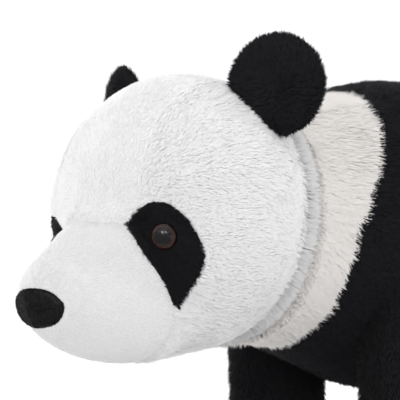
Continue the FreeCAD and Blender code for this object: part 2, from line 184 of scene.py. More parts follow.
def head_distance(points):
    """The skull and the muzzle, with a broad fillet along the bridge and a tight one beside it."""
    skull = ellipsoid_distance(points, skull_centre, skull_half)
    snout = ellipsoid_distance(points, muzzle_centre, muzzle_half)
    middle = np.exp(-(points[:, 0] / (48 * MM)) ** 2)
    above = smooth_step(muzzle_centre[2], muzzle_centre[2] + 30 * MM, points[:, 2])
    return blended(skull, snout, SIDE_FILLET + BRIDGE_FILLET * middle * above)


def surface_normals(points, distance):
    step = 0.5 * MM
    gradient = np.zeros_like(points)
    for axis in range(3):
        shift = np.zeros(3)
        shift[axis] = step
        gradient[:, axis] = distance(points + shift) - distance(points - shift)
    return unit(gradient)


def cast_out(directions, centre, distance, inset, reach=0.45):
    """Where rays from the centre meet the surface that lies inset below the form."""
    near = np.zeros(len(directions))
    far = np.full(len(directions), reach)
    for _ in range(26):
        middle = (near + far) / 2
        inside = distance(centre + directions * middle[:, None]) < -inset
        near = np.where(inside, middle, near)
        far = np.where(inside, far, middle)
    return centre + directions * near[:, None]


# ---------------------------------------------------------------- mesh helpers
def mesh_from_arrays(name, vertices, faces):
    mesh = bpy.data.meshes.new(name)
    vertices = np.asarray(vertices, dtype=np.float32)
    faces = np.asarray(faces, dtype=np.int32)
    corners = faces.shape[1]
    mesh.vertices.add(len(vertices))
    mesh.vertices.foreach_set("co", vertices.ravel())
    mesh.loops.add(len(faces) * corners)
    mesh.loops.foreach_set("vertex_index", faces.ravel())
    mesh.polygons.add(len(faces))
    mesh.polygons.foreach_set("loop_start", np.arange(len(faces), dtype=np.int32) * corners)
    mesh.polygons.foreach_set("use_smooth", np.ones(len(faces), dtype=bool))
    mesh.update(calc_edges=True)
    mesh.validate()
    return mesh


def add_piece(name, mesh, body, material):
    piece = bpy.data.objects.new(name, mesh)
    bpy.context.scene.collection.objects.link(piece)
    mesh.materials.append(material)
    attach(piece, body)
    return piece


def ball_grid(level):
    """Evenly spread directions and their triangles."""
    mesh = bpy.data.meshes.new("ball")
    ball = bmesh.new()
    bmesh.ops.create_icosphere(ball, subdivisions=level, radius=1.0)
    ball.to_mesh(mesh)
    ball.free()
    directions = np.zeros(len(mesh.vertices) * 3, dtype=np.float32)
    mesh.vertices.foreach_get("co", directions)
    faces = np.zeros(len(mesh.loops), dtype=np.int32)
    mesh.loops.foreach_get("vertex_index", faces)
    bpy.data.meshes.remove(mesh)
    return unit(directions.reshape(-1, 3).astype(float)), faces.reshape(-1, 3)


def tube_grid(rows, around):
    """Quads, as two triangles each, of a grid that closes on itself around."""
    row, step = np.meshgrid(np.arange(rows - 1), np.arange(around), indexing="ij")
    here = row * around + step
    beside = row * around + (step + 1) % around
    first = np.stack([here, beside, beside + around], axis=-1).reshape(-1, 3)
    second = np.stack([here, beside + around, here + around], axis=-1).reshape(-1, 3)
    return np.concatenate([first, second])


def vertex_normals(vertices, faces):
    a, b, c = (vertices[faces[:, i]] for i in range(3))
    face_normals = np.cross(b - a, c - a)
    normals = np.zeros_like(vertices)
    for i in range(3):
        np.add.at(normals, faces[:, i], face_normals)
    return unit(normals)


def keep_faces(vertices, faces, wanted):
    kept = faces[wanted]
    used, renumbered = np.unique(kept, return_inverse=True)
    return vertices[used], renumbered.reshape(kept.shape)


# ---------------------------------------------------------------- pile
def scatter(vertices, faces, spacing, rng):
    """Points spread over triangles, one per spacing squared, with their normals."""
    normals = vertex_normals(vertices, faces)
    a, b, c = (vertices[faces[:, i]] for i in range(3))
    areas = np.linalg.norm(np.cross(b - a, c - a), axis=1) / 2
    count = int(areas.sum() / spacing ** 2)
    chosen = rng.choice(len(faces), size=count, p=areas / areas.sum())
    u, v = rng.random(count), rng.random(count)
    flip = u + v > 1
    u, v = np.where(flip, 1 - u, u), np.where(flip, 1 - v, v)
    weights = np.stack([1 - u - v, u, v], axis=1)
    corners = faces[chosen]
    points = np.einsum("ij,ijk->ik", weights, vertices[corners])
    directions = np.einsum("ij,ijk->ik", weights, normals[corners])
    return points, unit(directions)


def clump_centres(points, size, seed):
    """The jittered centre of the cell that each point falls in."""
    warped = points + lattice_noise(points, size * 1.7, seed + 5) * size * 0.6
    cell = np.floor(warped / size).astype(np.int64)
    key = (cell[:, 0] * 92837111) ^ (cell[:, 1] * 689287499) ^ (cell[:, 2] * 283923481)
    jitter = np.random.default_rng(seed).uniform(-0.3, 0.3, (4096, 3))[key % 4096]
    centre = (cell + 0.5 + jitter) * size
    return centre - (warped - points), key % 4096


def make_pile(name, points, normals, flow, style, body, material, seed, floor=None):
    """One tapered, bent blade of pile at each point, as one piece."""
    rng = np.random.default_rng(seed)
    count = len(points)
    length = style["length"] * rng.uniform(0.72, 1.12, (count, 1))
    broad = lattice_noise(points, style["swirl"], seed + 1)
    fine = lattice_noise(points, style["clump"] * 1.3, seed + 2)
    heading = flow + broad * style["wander"] + fine * style["ruffle"]
    heading = unit(heading - along(heading, normals) * normals)
    centre, key = clump_centres(points, style["clump"], seed + 3)
    lift = np.radians(style["lean"]) * (1 + style["uneven"] * rng.standard_normal((count, 1)))
    lift += style["uneven"] * fine[:, :1]
    lift = np.clip(lift, 0.1, 1.5)
    low, high = lift * (1 - style["bend"]), lift * (1 + style["bend"])
    first = normals * np.cos(low) + heading * np.sin(low)
    second = normals * np.cos(high) + heading * np.sin(high)
    base = points - normals * style["root"]
    middle = base + first * length * 0.5
    tip = middle + second * length * 0.5
    pull = centre + heading * length * 0.6 - tip
    pull -= along(pull, normals) * normals
    tip += np.clip(pull, -style["clump"], style["clump"]) * style["gather"]
    middle += np.clip(pull, -style["clump"], style["clump"]) * style["gather"] * 0.4
    if floor is not None:
        middle[:, 2] = np.maximum(middle[:, 2], floor)
        tip[:, 2] = np.maximum(tip[:, 2], floor)
    side = np.cross(heading, normals)
    twist = rng.uniform(-style["twist"], style["twist"], (count, 1))
    side = unit(side * np.cos(twist) + heading * np.sin(twist))
    half = style["width"] / 2 * rng.uniform(0.7, 1.3, (count, 1))
    vertices = np.stack([
        base - side * half,
        base + side * half,
        middle - side * half * 0.85,
        middle + side * half * 0.85,
        tip,
    ], axis=1)
    start = (np.arange(count) * 5)[:, None]
    faces = np.concatenate([
        start + np.array([0, 1, 3]),
        start + np.array([0, 3, 2]),
        start + np.array([2, 3, 4]),
    ])
    mesh = mesh_from_arrays(name, vertices.reshape(-1, 3), faces)
    blade_normal = np.cross(side, tip - base)
    facing = unit(blade_normal)
    shade = unit(normals + facing * style["crisp"] + fine * style["mottle"])
    per_vertex = np.repeat(shade[:, None, :], 5, axis=1).reshape(-1, 3)
    mesh.normals_split_custom_set_from_vertices(per_vertex.astype(np.float32))
    tone = np.random.default_rng(seed + 9).random(4096)[key]
    tone = 0.55 * tone + 0.45 * rng.random(count)
    pile = np.zeros((count, 5, 4), dtype=np.float32)
    # position from root to tip, which the material turns into painted shade towards the root
    pile[:, :, 0] = np.array([0.0, 0.0, 0.55, 0.55, 1.0])
    pile[:, :, 1] = tone[:, None]
    pile[:, :, 3] = 1
    layer = mesh.color_attributes.new("pile", "FLOAT_COLOR", "POINT")
    layer.data.foreach_set("color", pile.ravel())
    add_strip_map(mesh, count)
    return add_piece(name, mesh, body, material)


def add_strip_map(mesh, count):
    """Gives each blade its own small cell of a UV map named OFBake."""
    per_side = math.ceil(math.sqrt(count))
    index = np.arange(count)
    corner = np.stack([index % per_side, index // per_side], axis=1) / per_side
    shape = np.array([[0.15, 0.1], [0.85, 0.1], [0.2, 0.5], [0.8, 0.5], [0.5, 0.9]]) / per_side
    places = (corner[:, None, :] + shape).reshape(-1, 2)
    loops = np.zeros(len(mesh.loops), dtype=np.int32)
    mesh.loops.foreach_get("vertex_index", loops)
    layer = mesh.uv_layers.new(name="OFBake")
    layer.data.foreach_set("uv", places[loops].astype(np.float32).ravel())


LONG_PILE = {
    "length": 8 * MM, "width": 1.0 * MM, "lean": 69, "uneven": 0.1, "clump": 7 * MM, "swirl": 40 * MM,
    "bend": 0.15, "twist": 0.3,
    "wander": 0.45, "ruffle": 0.4, "gather": 0.18, "root": 1 * MM, "crisp": 0.04, "mottle": 0.1,
}
CROWN_PILE = dict(
    LONG_PILE, length=5.5 * MM, lean=72, uneven=0.06, wander=0.3, ruffle=0.2, gather=0.06, mottle=0.04
)
BACK_PILE = dict(LONG_PILE, length=12 * MM, width=1.4 * MM)
NECK_PILE = dict(LONG_PILE, length=11 * MM, clump=9 * MM)
RIM_PILE = dict(NECK_PILE, length=14 * MM, lean=50, gather=0.05)
RUFF_PILE = dict(NECK_PILE, length=15 * MM, lean=24, gather=0.05)
SHORT_PILE = {
    "length": 3.2 * MM, "width": 0.8 * MM, "lean": 68, "uneven": 0.08, "clump": 5 * MM, "swirl": 60 * MM,
    "bend": 0.12, "twist": 0.25,
    "wander": 0.2, "ruffle": 0.15, "gather": 0.05, "root": 0.5 * MM, "crisp": 0.02, "mottle": 0.03,
}
BLACK_PILE = {
    "length": 8 * MM, "width": 1.2 * MM, "lean": 54, "uneven": 0.2, "clump": 6 * MM, "swirl": 40 * MM,
    "bend": 0.35, "twist": 0.6,
    "wander": 0.4, "ruffle": 0.4, "gather": 0.2, "root": 0.5 * MM, "crisp": 0.3, "mottle": 0.15,
}
EAR_PILE = dict(BLACK_PILE, length=8 * MM, width=0.9 * MM, lean=52, gather=0.25)
PATCH_PILE = dict(BLACK_PILE, length=5 * MM, width=0.9 * MM, lean=52, clump=5 * MM, gather=0.1)
VELOUR_PILE = {
    "length": 1.6 * MM, "width": 0.6 * MM, "lean": 45, "uneven": 0.2, "clump": 4 * MM, "swirl": 30 * MM,
    "bend": 0.3, "twist": 0.5,
    "wander": 0.3, "ruffle": 0.2, "gather": 0.1, "root": 0.3 * MM, "crisp": 0.1, "mottle": 0.05,
}


# ---------------------------------------------------------------- materials
class Nodes:
    """A material's node tree, with short ways to add and join nodes."""

    def __init__(self, name):
        self.material = bpy.data.materials.new(name)
        self.material.use_nodes = True
        self.tree = self.material.node_tree
        self.shader = self.tree.nodes["Principled BSDF"]

    def add(self, kind, **settings):
        node = self.tree.nodes.new(kind)
        for key, value in settings.items():
            setattr(node, key, value)
        return node

    def join(self, source, target):
        self.tree.links.new(source, target)

    def noise(self, scale, detail=3.0, roughness=0.55):
        place = self.add("ShaderNodeTexCoord")
        noise = self.add("ShaderNodeTexNoise")
        noise.inputs["Scale"].default_value = scale
        noise.inputs["Detail"].default_value = detail
        noise.inputs["Roughness"].default_value = roughness
        self.join(place.outputs["Object"], noise.inputs["Vector"])
        return noise.outputs["Fac"]

    def ramp(self, source, stops):
        ramp = self.add("ShaderNodeValToRGB")
        elements = ramp.color_ramp.elements
        while len(elements) < len(stops):
            elements.new(0.5)
        for element, (position, colour) in zip(elements, stops):
            element.position = position
            element.color = (*colour, 1)
        self.join(source, ramp.inputs["Fac"])
        return ramp.outputs["Color"]

    def mix(self, kind, factor, first, second):
        mix = self.add("ShaderNodeMix", data_type="RGBA", blend_type=kind)
        for socket, value in ((mix.inputs[0], factor), (mix.inputs[6], first), (mix.inputs[7], second)):
            if isinstance(value, bpy.types.NodeSocket):
                self.join(value, socket)
            elif isinstance(value, tuple):
                socket.default_value = (*value, 1)
            else:
                socket.default_value = value
        return mix.outputs[2]

    def bump(self, height, strength, distance):
        bump = self.add("ShaderNodeBump")
        bump.inputs["Strength"].default_value = strength
        bump.inputs["Distance"].default_value = distance
        self.join(height, bump.inputs["Height"])
        self.join(bump.outputs["Normal"], self.shader.inputs["Normal"])

    def set(self, **values):
        for key, value in values.items():
            self.shader.inputs[key.replace("_", " ")].default_value = value


def grey(level, warmth=0.0):
    return (level * (1 + warmth), level, level * (1 - warmth))


def pile_material(name, root, tip, spread, sheen, roughness=0.85):
    """Darker at the root than at the tip as painted shade deep in the pile, with a tone for each tuft and a slow
    change over the body.
    """
    nodes = Nodes(name)
    pile = nodes.add("ShaderNodeAttribute", attribute_name="pile")
    parts = nodes.add("ShaderNodeSeparateColor")
    nodes.join(pile.outputs["Color"], parts.inputs["Color"])
    # painted shade: the colour darkens from the tip down to the root, where the blades shade each other
    colour = nodes.ramp(parts.outputs["Red"], [(0.0, root), (0.75, tip)])
    low = grey(1 - spread)
    high = grey(min(1.0, 1 + spread))
    tone = nodes.ramp(parts.outputs["Green"], [(0.0, low), (1.0, high)])
    colour = nodes.mix("MULTIPLY", 1.0, colour, tone)
    slow = nodes.ramp(nodes.noise(14), [(0.3, grey(1 - spread * 0.6)), (0.7, grey(1.0))])
    colour = nodes.mix("MULTIPLY", 1.0, colour, slow)
    nodes.join(colour, nodes.shader.inputs["Base Color"])
    rough = nodes.ramp(nodes.noise(300), [(0.3, grey(roughness - 0.08)), (0.7, grey(roughness + 0.08))])
    nodes.join(rough, nodes.shader.inputs["Roughness"])
    nodes.set(Sheen_Weight=sheen, Sheen_Roughness=0.4, Specular_IOR_Level=0.15)
    return nodes.material


def backing_material(name, colour, spread=0.12):
    """The knitted cloth under the pile."""
    nodes = Nodes(name)
    knit = nodes.noise(900, detail=2)
    dark = tuple(channel * (1 - spread) for channel in colour)
    nodes.join(nodes.ramp(knit, [(0.35, dark), (0.65, colour)]), nodes.shader.inputs["Base Color"])
    nodes.bump(knit, 0.4, 0.5 * MM)
    nodes.set(Roughness=0.95, Specular_IOR_Level=0.2)
    return nodes.material


def velour_material():
    nodes = Nodes("nose_velour")
    fuzz = nodes.noise(700, detail=4)
    colour = nodes.ramp(fuzz, [(0.3, grey(0.002)), (0.7, grey(0.005))])
    nodes.join(colour, nodes.shader.inputs["Base Color"])
    rough = nodes.ramp(nodes.noise(60), [(0.3, grey(0.6)), (0.7, grey(0.75))])
    nodes.join(rough, nodes.shader.inputs["Roughness"])
    nodes.bump(fuzz, 0.35, 0.4 * MM)
    nodes.set(Sheen_Weight=0.04, Sheen_Roughness=0.35, Specular_IOR_Level=0.2)
    return nodes.material


def iris_material(name, centre, outward):
    """A black pupil, a dark red-brown iris that lightens towards its rim, and a black edge."""
    nodes = Nodes(name)
    place = nodes.add("ShaderNodeTexCoord")
    offset = nodes.add("ShaderNodeVectorMath", operation="SUBTRACT")
    offset.inputs[1].default_value = centre
    nodes.join(place.outputs["Object"], offset.inputs[0])
    across = nodes.add("ShaderNodeVectorMath", operation="CROSS_PRODUCT")
    across.inputs[1].default_value = outward
    nodes.join(offset.outputs["Vector"], across.inputs[0])
    radius = nodes.add("ShaderNodeVectorMath", operation="LENGTH")
    nodes.join(across.outputs["Vector"], radius.inputs[0])
    share = nodes.add("ShaderNodeMath", operation="DIVIDE")
    share.inputs[1].default_value = 12 * MM
    nodes.join(radius.outputs["Value"], share.inputs[0])
    rings = nodes.ramp(share.outputs["Value"], [
        (0.0, (0.002, 0.002, 0.003)),
        (0.52, (0.003, 0.002, 0.003)),
        (0.60, (0.018, 0.006, 0.004)),
        (0.82, (0.050, 0.018, 0.013)),
        (0.93, (0.012, 0.005, 0.004)),
    ])
    fibres = nodes.ramp(nodes.noise(900, detail=2), [(0.3, grey(0.6)), (0.7, grey(1.0))])
    nodes.join(nodes.mix("MULTIPLY", 1.0, rings, fibres), nodes.shader.inputs["Base Color"])
    nodes.set(Roughness=0.6, Specular_IOR_Level=0.0)
    return nodes.material


def dome_material():
    nodes = Nodes("eye_dome")
    smear = nodes.ramp(nodes.noise(120), [(0.3, grey(0.02)), (0.7, grey(0.05))])
    nodes.join(smear, nodes.shader.inputs["Roughness"])
    nodes.set(Transmission_Weight=1.0, IOR=1.3, Base_Color=(0.97, 0.95, 0.94, 1))
    return nodes.material


def steel_material():
    nodes = Nodes("steel")
    marks = nodes.noise(80, detail=6)
    nodes.join(nodes.ramp(marks, [(0.3, grey(0.35)), (0.7, grey(0.5))]), nodes.shader.inputs["Base Color"])
    nodes.join(nodes.ramp(marks, [(0.3, grey(0.3)), (0.7, grey(0.5))]), nodes.shader.inputs["Roughness"])
    nodes.bump(nodes.noise(600), 0.1, 0.2 * MM)
    nodes.set(Metallic=1.0)
    return nodes.material


def moulded_material(name, level):
    nodes = Nodes(name)
    grain = nodes.noise(1200, detail=2)
    colour = nodes.ramp(nodes.noise(30), [(0.3, grey(level * 0.9)), (0.7, grey(level))])
    nodes.join(colour, nodes.shader.inputs["Base Color"])
    nodes.bump(grain, 0.15, 0.1 * MM)
    nodes.set(Roughness=0.55)
    return nodes.material


def floor_material():
    nodes = Nodes("studio_floor")
    shade = nodes.ramp(nodes.noise(2), [(0.3, grey(0.88)), (0.7, grey(0.9))])
    nodes.join(shade, nodes.shader.inputs["Base Color"])
    nodes.set(Roughness=0.8)
    return nodes.material


# each root colour is darker than its tip colour: painted shade deep in the pile
COOL_WHITE = pile_material("white_long_pile", (0.90, 0.895, 0.90), (0.945, 0.94, 0.942), 0.012, 0.0)
SMOOTH_WHITE = pile_material("white_short_pile", (0.87, 0.865, 0.87), (0.90, 0.895, 0.897), 0.01, 0.0)
WARM_WHITE = pile_material("offwhite_long_pile", (0.87, 0.84, 0.81), (0.92, 0.895, 0.87), 0.015, 0.0)
BLACK = pile_material("black_pile", grey(0.003), (0.009, 0.009, 0.012), 0.25, 0.04)
VELOUR = pile_material("velour_pile", grey(0.001), (0.002, 0.0025, 0.004), 0.2, 0.0)
WHITE_CLOTH = backing_material("white_backing", (0.78, 0.775, 0.78), 0.04)
WARM_CLOTH = backing_material("offwhite_backing", (0.75, 0.72, 0.69), 0.04)
BLACK_CLOTH = backing_material("black_backing", grey(0.008))


# ---------------------------------------------------------------- head
def inside_outline(points, outline):
    """Which of the 2-D points lie inside a closed outline."""
    inside = np.zeros(len(points), dtype=bool)
    x, y = points[:, 0], points[:, 1]
    for (x0, y0), (x1, y1) in zip(outline, np.roll(outline, -1, axis=0)):
        crosses = (y0 > y) != (y1 > y)
        with np.errstate(divide="ignore", invalid="ignore"):
            at = x0 + (y - y0) / (y1 - y0) * (x1 - x0)
        inside ^= crosses & (x < at)
    return inside


def rounded_outline(corners, sharp, steps=8):
    """A smooth closed outline through the corners, which stays pointed at the sharp ones."""
    corners = np.array(corners)
    count = len(corners)
    outline = []
    for i in range(count):
        p0, p1, p2, p3 = (corners[(i + k) % count] for k in (-1, 0, 1, 2))
        leave = (p2 - p1) * 1.0 if i in sharp else (p2 - p0) / 2
        arrive = (p2 - p1) * 1.0 if (i + 1) % count in sharp else (p3 - p1) / 2
        for step in range(steps):
            t = step / steps
            outline.append(
                (2 * t ** 3 - 3 * t ** 2 + 1) * p1 + (t ** 3 - 2 * t ** 2 + t) * leave
                + (3 * t ** 2 - 2 * t ** 3) * p2 + (t ** 3 - t ** 2) * arrive
            )
    return np.array(outline)


PATCH_HALF = 39.5 * MM
PATCH_HEIGHT = 93 * MM
patch_outline = rounded_outline([
    (-1.05 * PATCH_HALF, 0.08 * PATCH_HEIGHT),
    (-0.63 * PATCH_HALF, 0.27 * PATCH_HEIGHT),
    (-0.07 * PATCH_HALF, 0.33 * PATCH_HEIGHT),
    (0.45 * PATCH_HALF, 0.21 * PATCH_HEIGHT),
    (0.80 * PATCH_HALF, -0.04 * PATCH_HEIGHT),
    (0.78 * PATCH_HALF, -0.29 * PATCH_HEIGHT),
    (0.09 * PATCH_HALF, -0.65 * PATCH_HEIGHT),
    (-0.90 * PATCH_HALF, -0.24 * PATCH_HEIGHT),
], sharp=(0, 6))


def patch_plane(points):
    """Across and up from the left eye, as seen along the way it faces, and how far in front."""
    offset = points - eye_seat
    side_x, side_y = math.cos(EYE_AZIMUTH), math.sin(EYE_AZIMUTH)
    facing = eye_outward[:2] / np.linalg.norm(eye_outward[:2])
    skew = side_x * facing[1] - side_y * facing[0]
    across = (offset[:, 0] * facing[1] - offset[:, 1] * facing[0]) / skew
    ahead = (side_x * offset[:, 1] - side_y * offset[:, 0]) / skew
    return np.stack([across, offset[:, 2]], axis=1), ahead


def muzzle_outline():
    seam = [(eye_seat[1] + behind * MM, eye_seat[2] + above * MM) for behind, above in MUZZLE_SEAM_MM]
    far_ahead = -1.0
    return np.array([(far_ahead, seam[0][1]), *seam, (far_ahead, seam[-1][1])])


def head_panels(points):
    """The name of the panel that each point of the head belongs to."""
    names = np.full(len(points), "crown_panel", dtype="<U24")
    half_crown = (crown_high[0] - crown_low[0]) / 2
    side = points[:, 0] > 0
    beside = (np.abs(points[:, 0]) > half_crown) | (points[:, 2] < eye_seat[2] - 16 * MM)
    names[beside & side] = "cheek_left"
    names[beside & ~side] = "cheek_right"
    names[points[:, 1] > back_low[1]] = "head_back_panel"
    mirrored = np.abs(points) * [1, 0, 0] + points * [0, 1, 1]
    flat, ahead = patch_plane(mirrored)
    patch = inside_outline(flat, patch_outline) & (ahead > -60 * MM)
    names[patch & side] = "eye_patch_left"
    names[patch & ~side] = "eye_patch_right"
    names[inside_outline(points[:, 1:], muzzle_outline())] = "muzzle_panel"
    return names


def head_flow(points):
    """The lie of the pile: away from the nose, then down the sides."""
    away = points - (muzzle_centre + np.array([0, -1.2, -0.1]) * MUZZLE_HALF_LENGTH)
    return unit(unit(away) + np.array([0, 0.15, -0.45]))


def eye_clear(points):
    """Leaves the two eyes free of pile."""
    mirrored = np.abs(points) * [1, 0, 0] + points * [0, 1, 1]
    flat, ahead = patch_plane(mirrored)
    return (np.linalg.norm(flat, axis=1) > 11.5 * MM) | (ahead < -30 * MM)


def edge_distance(points, outline):
    """How far each 2-D point lies from a closed outline."""
    nearest = np.full(len(points), 1.0)
    for start, end in zip(outline, np.roll(outline, -1, axis=0)):
        edge = end - start
        t = np.clip((points - start) @ edge / (edge @ edge), 0, 1)
        nearest = np.minimum(nearest, np.linalg.norm(points - start - t[:, None] * edge, axis=1))
    return nearest


NOSE_EDGE = [(0.45, 0.02), (0.78, 0.16), (0.97, 0.42), (0.88, 0.68), (0.62, 0.90), (0.30, 0.99)]
nose_size = np.array([(nose_high[0] - nose_low[0]) / 2, nose_high[2] - nose_low[2]])
nose_shape = [(0, 0), *NOSE_EDGE, (0, 1), *[(-across, down) for across, down in NOSE_EDGE[::-1]]]
nose_outline = rounded_outline(
    [(across * nose_size[0], nose_high[2] - down * nose_size[1]) for across, down in nose_shape], sharp=()
)


def nose_share(points):
    """1 inside the nose's outline and 0 outside it, with a soft edge."""
    flat = points[:, [0, 2]]
    inside = inside_outline(flat, nose_outline) & (points[:, 1] < muzzle_centre[1] - 30 * MM)
    depth = np.where(inside, edge_distance(flat, nose_outline), 0)
    return smooth_step(-0.5 * MM, 5 * MM, depth), inside


PANEL_LOOKS = {
    "crown_panel": (WHITE_CLOTH, COOL_WHITE, CROWN_PILE, 0.92 * MM),
    "cheek_left": (WHITE_CLOTH, COOL_WHITE, LONG_PILE, 0.95 * MM),
    "cheek_right": (WHITE_CLOTH, COOL_WHITE, LONG_PILE, 0.95 * MM),
    "head_back_panel": (WHITE_CLOTH, COOL_WHITE, BACK_PILE, 1.2 * MM),
    "muzzle_panel": (WHITE_CLOTH, SMOOTH_WHITE, SHORT_PILE, 0.88 * MM),
    "eye_patch_left": (BLACK_CLOTH, BLACK, PATCH_PILE, 0.85 * MM),
    "eye_patch_right": (BLACK_CLOTH, BLACK, PATCH_PILE, 0.85 * MM),
}


def head_inset(points):
    """How far the skin lies below the pile's tips."""
    names = head_panels(points)
    inset = np.full(len(points), 2 * MM)
    inset[names == "muzzle_panel"] = 1.8 * MM
    inset[(names == "eye_patch_left") | (names == "eye_patch_right")] = 4 * MM
    from_seam = edge_distance(points[:, 1:], muzzle_outline())
    return inset + 3 * MM * np.exp(-(from_seam / (4 * MM)) ** 2)


def smooth_over(values, faces, rounds):
    """Averages a value over neighbouring vertices."""
    for _ in range(rounds):
        total = np.zeros(len(values))
        count = np.zeros(len(values))
        for i in range(3):
            for j in range(3):
                np.add.at(total, faces[:, i], values[faces[:, j]])
                np.add.at(count, faces[:, i], 1)
        values = total / count
    return values


def make_head():
    directions, faces = ball_grid(7)
    centre = (skull_centre + muzzle_centre) / 2 + np.array([0, 0, 10 * MM])
    rough = cast_out(directions, centre, head_distance, 0.0)
    inset = smooth_over(head_inset(rough), faces, 3)
    vertices = cast_out(directions, centre, head_distance, inset)
    face_names = head_panels(vertices[faces].mean(axis=1))
    rng = np.random.default_rng(11)
    for order, (node, look) in enumerate(PANEL_LOOKS.items()):
        cloth, pile, style, spacing = look
        part_vertices, part_faces = keep_faces(vertices, faces, face_names == node)
        skin = add_piece(node + "_skin", mesh_from_arrays(node, part_vertices, part_faces), "head", cloth)
        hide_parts(node)
        points, normals = scatter(vertices, faces, spacing, rng)
        wanted = (head_panels(points) == node) & eye_clear(points)
        if node == "muzzle_panel":
            wanted &= ~nose_share(points)[1]
        points, normals = points[wanted], normals[wanted]
        fur = make_pile(node + "_pile", points, normals, head_flow(points), style, "head", pile, 20 + order)
    make_ruff(vertices, faces, rng)
    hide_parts("head_filling")
    make_nose(rng)


def make_ruff(vertices, faces, rng):
    """Upright pile on the back of the head, round the neck's rim, which hides the joint."""
    centres = vertices[faces].mean(axis=1)
    from_axis = np.hypot(centres[:, 0], centres[:, 2] - neck_pivot[2])
    beside = (from_axis > NECK_RIM_RADIUS - 18 * MM) & (from_axis < NECK_RIM_RADIUS + 6 * MM)
    beside &= centres[:, 1] > skull_centre[1]
    points, normals = scatter(*keep_faces(vertices, faces, beside), 1.0 * MM, rng)
    away = (points - neck_pivot) * [1, 0, 1]
    normals = unit(unit(away) + np.array([0, 0.45, 0]))
    flow = np.tile(np.array([0.0, 1.0, -0.2]), (len(points), 1))
    fur = make_pile("head_ruff_pile", points, normals, flow, RUFF_PILE, "head", COOL_WHITE, 89)


def make_nose(rng):
    """A padded velour patch over the tip of the muzzle, with a low ridge down its middle."""
    directions, fine_faces = ball_grid(7)
    centre = muzzle_centre
    ahead = directions[:, 1] < -0.55
    face_ahead = ahead[fine_faces].all(axis=1)
    part, part_faces = keep_faces(directions, fine_faces, face_ahead)
    surface = cast_out(part, centre, head_distance, 1.8 * MM)
    share, inside = nose_share(surface)
    ridge = np.exp(-(surface[:, 0] / (5 * MM)) ** 2) * 1.2 * MM
    hollow = np.exp(-((np.abs(surface[:, 0]) - 15 * MM) / (7 * MM)) ** 2) * 0.9 * MM
    lift = share * (5.2 * MM + ridge - hollow) - 1.5 * MM
    normals = surface_normals(surface, head_distance)
    raised = surface + normals * lift[:, None]
    keep = inside[part_faces].any(axis=1)
    raised, kept_faces = keep_faces(raised, part_faces, keep)
    nose = add_piece("nose_skin", mesh_from_arrays("nose", raised, kept_faces), "head", velour_material())
    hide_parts("nose_cover")
    points, normals = scatter(raised, kept_faces, 0.8 * MM, rng)
    flow = np.tile(np.array([0.0, 0.3, -1.0]), (len(points), 1))
    fuzz = make_pile("nose_pile", points, normals, flow, VELOUR_PILE, "head", VELOUR, 61)


# ---------------------------------------------------------------- ears
def make_ear(name, side):
    front, back = "ear_front_" + name, "ear_back_" + name
    low, high = node_box(front, back)
    half = np.array([EAR_HALF_WIDTH, EAR_HALF_THICKNESS, EAR_HALF_HEIGHT])
    reach = math.hypot(EAR_HALF_WIDTH * math.cos(EAR_SWEEP), EAR_HALF_THICKNESS * math.sin(EAR_SWEEP))
    depth = math.hypot(EAR_HALF_WIDTH * math.sin(EAR_SWEEP), EAR_HALF_THICKNESS * math.cos(EAR_SWEEP))
    outermost = max(abs(low[0]), abs(high[0])) - reach
    centre = np.array([side * (outermost + EAR_SET_OUT), high[1] - depth, high[2] - EAR_HALF_HEIGHT])
    sweep = EAR_SWEEP * side
    across = np.array([math.cos(sweep), math.sin(sweep), 0])
    facing = np.array([math.sin(sweep), -math.cos(sweep), 0])
    upright = np.array([0, 0, 1.0])

    def ear_distance(points):
        offset = points - centre
        local = np.stack([offset @ across, offset @ facing, offset @ upright], axis=1)
        cup = 5 * MM * np.exp(-(local[:, 0] ** 2 + local[:, 2] ** 2) / (30 * MM) ** 2)
        local[:, 1] += cup
        return ellipsoid_distance(local, np.zeros(3), half)

    directions, faces = ball_grid(5)
    vertices = cast_out(directions, centre, ear_distance, 6 * MM, reach=0.08)
    outside = head_distance(vertices[faces].mean(axis=1)) > -12 * MM
    vertices, faces = keep_faces(vertices, faces, outside)
    skin = add_piece("ear_skin_" + name, mesh_from_arrays("ear", vertices, faces), "ear_" + name, BLACK_CLOTH)
    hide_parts(front, back, "ear_filling_" + name)
    rng = np.random.default_rng(31)
    points, normals = scatter(vertices, faces, 0.95 * MM, rng)
    outside = head_distance(points) > -9 * MM
    points, normals = points[outside], normals[outside]
    flow = unit(points - centre) + np.array([0, 0, 0.4])
    fur = make_pile("ear_pile_" + name, points, normals, flow, EAR_PILE, "ear_" + name, BLACK, 71)


# ---------------------------------------------------------------- torso
def body_profile(y):
    """The radius of the body's outside at each place along it."""
    stations = np.array([
        (neck_rim_y - 40 * MM, NECK_RIM_RADIUS - 2 * MM),
        (neck_rim_y, NECK_RIM_RADIUS + 3 * MM),
        (SEAM_BOTTOM_Y, THROAT_RADIUS),
        (SEAM_TOP_Y, NAPE_RADIUS),
        (SHOULDER_Y, SHOULDER_RADIUS),
        (BELLY_Y, middle_high[0]),
        (RUMP_Y, RUMP_RADIUS),
    ])
    rump_y, rump_radius = stations[-1]
    knots, radii = stations[:, 0], stations[:, 1]
    slopes = np.gradient(radii, knots)
    slopes[-1] = 0
    place = np.clip(np.searchsorted(knots, y) - 1, 0, len(knots) - 2)
    gap = knots[place + 1] - knots[place]
    t = np.clip((y - knots[place]) / gap, 0, 1)
    radius = (
        (2 * t ** 3 - 3 * t ** 2 + 1) * radii[place] + (t ** 3 - 2 * t ** 2 + t) * gap * slopes[place]
        + (3 * t ** 2 - 2 * t ** 3) * radii[place + 1] + (t ** 3 - t ** 2) * gap * slopes[place + 1]
    )
    beyond = np.clip((y - rump_y) / (rump_high[1] - rump_y), 0, 1)
    return np.where(y > rump_y, rump_radius * np.sqrt(1 - beyond ** 2), radius)


